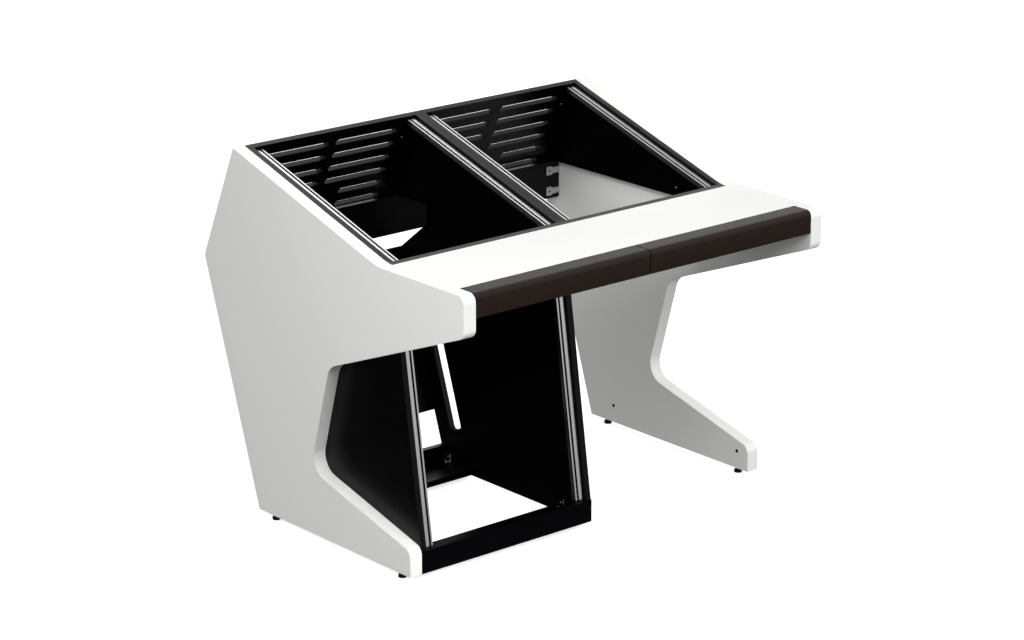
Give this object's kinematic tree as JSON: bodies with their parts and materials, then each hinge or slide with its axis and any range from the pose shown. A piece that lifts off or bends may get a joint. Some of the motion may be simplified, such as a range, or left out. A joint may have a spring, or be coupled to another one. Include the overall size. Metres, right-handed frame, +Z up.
{
  "type": "studio desk",
  "caption": "Studio desk with slanted equipment rack bays behind the deck, a rack under its left side, a padded armrest, white side panels and levelling feet.",
  "frame": {"origin": "on the floor, under the middle of the desk's box", "axes": "+X to the right as seen from the seat, +Y to the rear, +Z up; the seat is on the -Y side"},
  "size_m": [1.14, 1.0002, 0.926],
  "materials": {
    "white_board": "satin white laminate",
    "black_board": "matt black laminate",
    "armrest_skin": "fine-grained dark brown skin",
    "aluminium_rail": "satin extruded",
    "dark_steel": "black zinc",
    "zinc_steel": "bright zinc",
    "black_plastic": "moulded"
  },
  "bodies": {
    "desk": {"side_panel_left": "white_board", "side_panel_right": "white_board", "deck_board": "white_board", "rack_side_left": "black_board", "rack_side_right": "black_board", "rack_divider_left": "black_board", "rack_divider_right": "black_board", "rack_front_board": "black_board", "rear_vent_panel": "black_board", "rear_stretcher": "black_board", "deck_front_rail": "black_board", "lower_side_left": "black_board", "lower_side_right": "black_board", "front_foot_board": "black_board", "rear_foot_board": "black_board", "front_kick_board": "black_board", "rear_kick_board": "black_board", "lower_rear_panel": "black_board", "armrest_left": "armrest_skin", "armrest_right": "armrest_skin", "upper_left_outer_rail": "aluminium_rail", "upper_left_outer_threaded_strip": "dark_steel", "upper_left_inner_rail": "aluminium_rail", "upper_left_inner_threaded_strip": "dark_steel", "upper_right_inner_rail": "aluminium_rail", "upper_right_inner_threaded_strip": "dark_steel", "upper_right_outer_rail": "aluminium_rail", "upper_right_outer_threaded_strip": "dark_steel", "lower_left_rail": "aluminium_rail", "lower_left_threaded_strip": "dark_steel", "lower_right_rail": "aluminium_rail", "lower_right_threaded_strip": "dark_steel", "vent_panel_screw_1": "zinc_steel", "vent_panel_screw_2": "zinc_steel", "vent_panel_screw_3": "zinc_steel", "vent_panel_screw_4": "zinc_steel", "armrest_bolt_1": "zinc_steel", "armrest_bolt_2": "zinc_steel", "armrest_bolt_3": "zinc_steel", "armrest_bolt_4": "zinc_steel", "stretcher_plate_upper_left": "zinc_steel", "stretcher_plate_lower_left": "zinc_steel", "stretcher_plate_upper_right": "zinc_steel", "stretcher_plate_lower_right": "zinc_steel", "foot_sleeve_front_left": "zinc_steel", "foot_sleeve_rear_left": "zinc_steel", "foot_sleeve_front_right": "zinc_steel", "foot_sleeve_rear_right": "zinc_steel", "front_bracket_left": "dark_steel", "front_bracket_right": "dark_steel", "rear_bracket_left": "dark_steel", "rear_bracket_right": "dark_steel"},
    "foot_pad_front_left": {"foot_pad_front_left": "black_plastic"},
    "foot_stem_front_left": {"foot_stem_front_left": "zinc_steel"},
    "foot_pad_rear_left": {"foot_pad_rear_left": "black_plastic"},
    "foot_stem_rear_left": {"foot_stem_rear_left": "zinc_steel"},
    "foot_pad_front_right": {"foot_pad_front_right": "black_plastic"},
    "foot_stem_front_right": {"foot_stem_front_right": "zinc_steel"},
    "foot_pad_rear_right": {"foot_pad_rear_right": "black_plastic"},
    "foot_stem_rear_right": {"foot_stem_rear_right": "zinc_steel"}
  },
  "joints": [
    {"name": "foot_height_front_left", "type": "slide", "parent": "desk", "child": "foot_pad_front_left", "axis": [0, 0, 1], "range_m": [-0.01, 0.004]},
    {"name": "foot_turn_front_left", "type": "hinge", "parent": "foot_pad_front_left", "child": "foot_stem_front_left", "pos_m": [-0.552, -0.24711, 0], "axis": [0, 0, 1], "range_deg": [-2881, 1153]},
    {"name": "foot_height_rear_left", "type": "slide", "parent": "desk", "child": "foot_pad_rear_left", "axis": [0, 0, 1], "range_m": [-0.01, 0.004]},
    {"name": "foot_turn_rear_left", "type": "hinge", "parent": "foot_pad_rear_left", "child": "foot_stem_rear_left", "pos_m": [-0.552, 0.25089, 0], "axis": [0, 0, 1], "range_deg": [-2881, 1153]},
    {"name": "foot_height_front_right", "type": "slide", "parent": "desk", "child": "foot_pad_front_right", "axis": [0, 0, 1], "range_m": [-0.01, 0.004]},
    {"name": "foot_turn_front_right", "type": "hinge", "parent": "foot_pad_front_right", "child": "foot_stem_front_right", "pos_m": [0.552, -0.24711, 0], "axis": [0, 0, 1], "range_deg": [-2881, 1153]},
    {"name": "foot_height_rear_right", "type": "slide", "parent": "desk", "child": "foot_pad_rear_right", "axis": [0, 0, 1], "range_m": [-0.01, 0.004]},
    {"name": "foot_turn_rear_right", "type": "hinge", "parent": "foot_pad_rear_right", "child": "foot_stem_rear_right", "pos_m": [0.552, 0.25089, 0], "axis": [0, 0, 1], "range_deg": [-2881, 1153]}
  ],
  "couplings": [
    {"joint": "foot_turn_front_left", "follows": "foot_height_front_left", "rad_per_m": 5026.5},
    {"joint": "foot_turn_rear_left", "follows": "foot_height_rear_left", "rad_per_m": 5026.5},
    {"joint": "foot_turn_front_right", "follows": "foot_height_front_right", "rad_per_m": 5026.5},
    {"joint": "foot_turn_rear_right", "follows": "foot_height_rear_right", "rad_per_m": 5026.5}
  ]
}
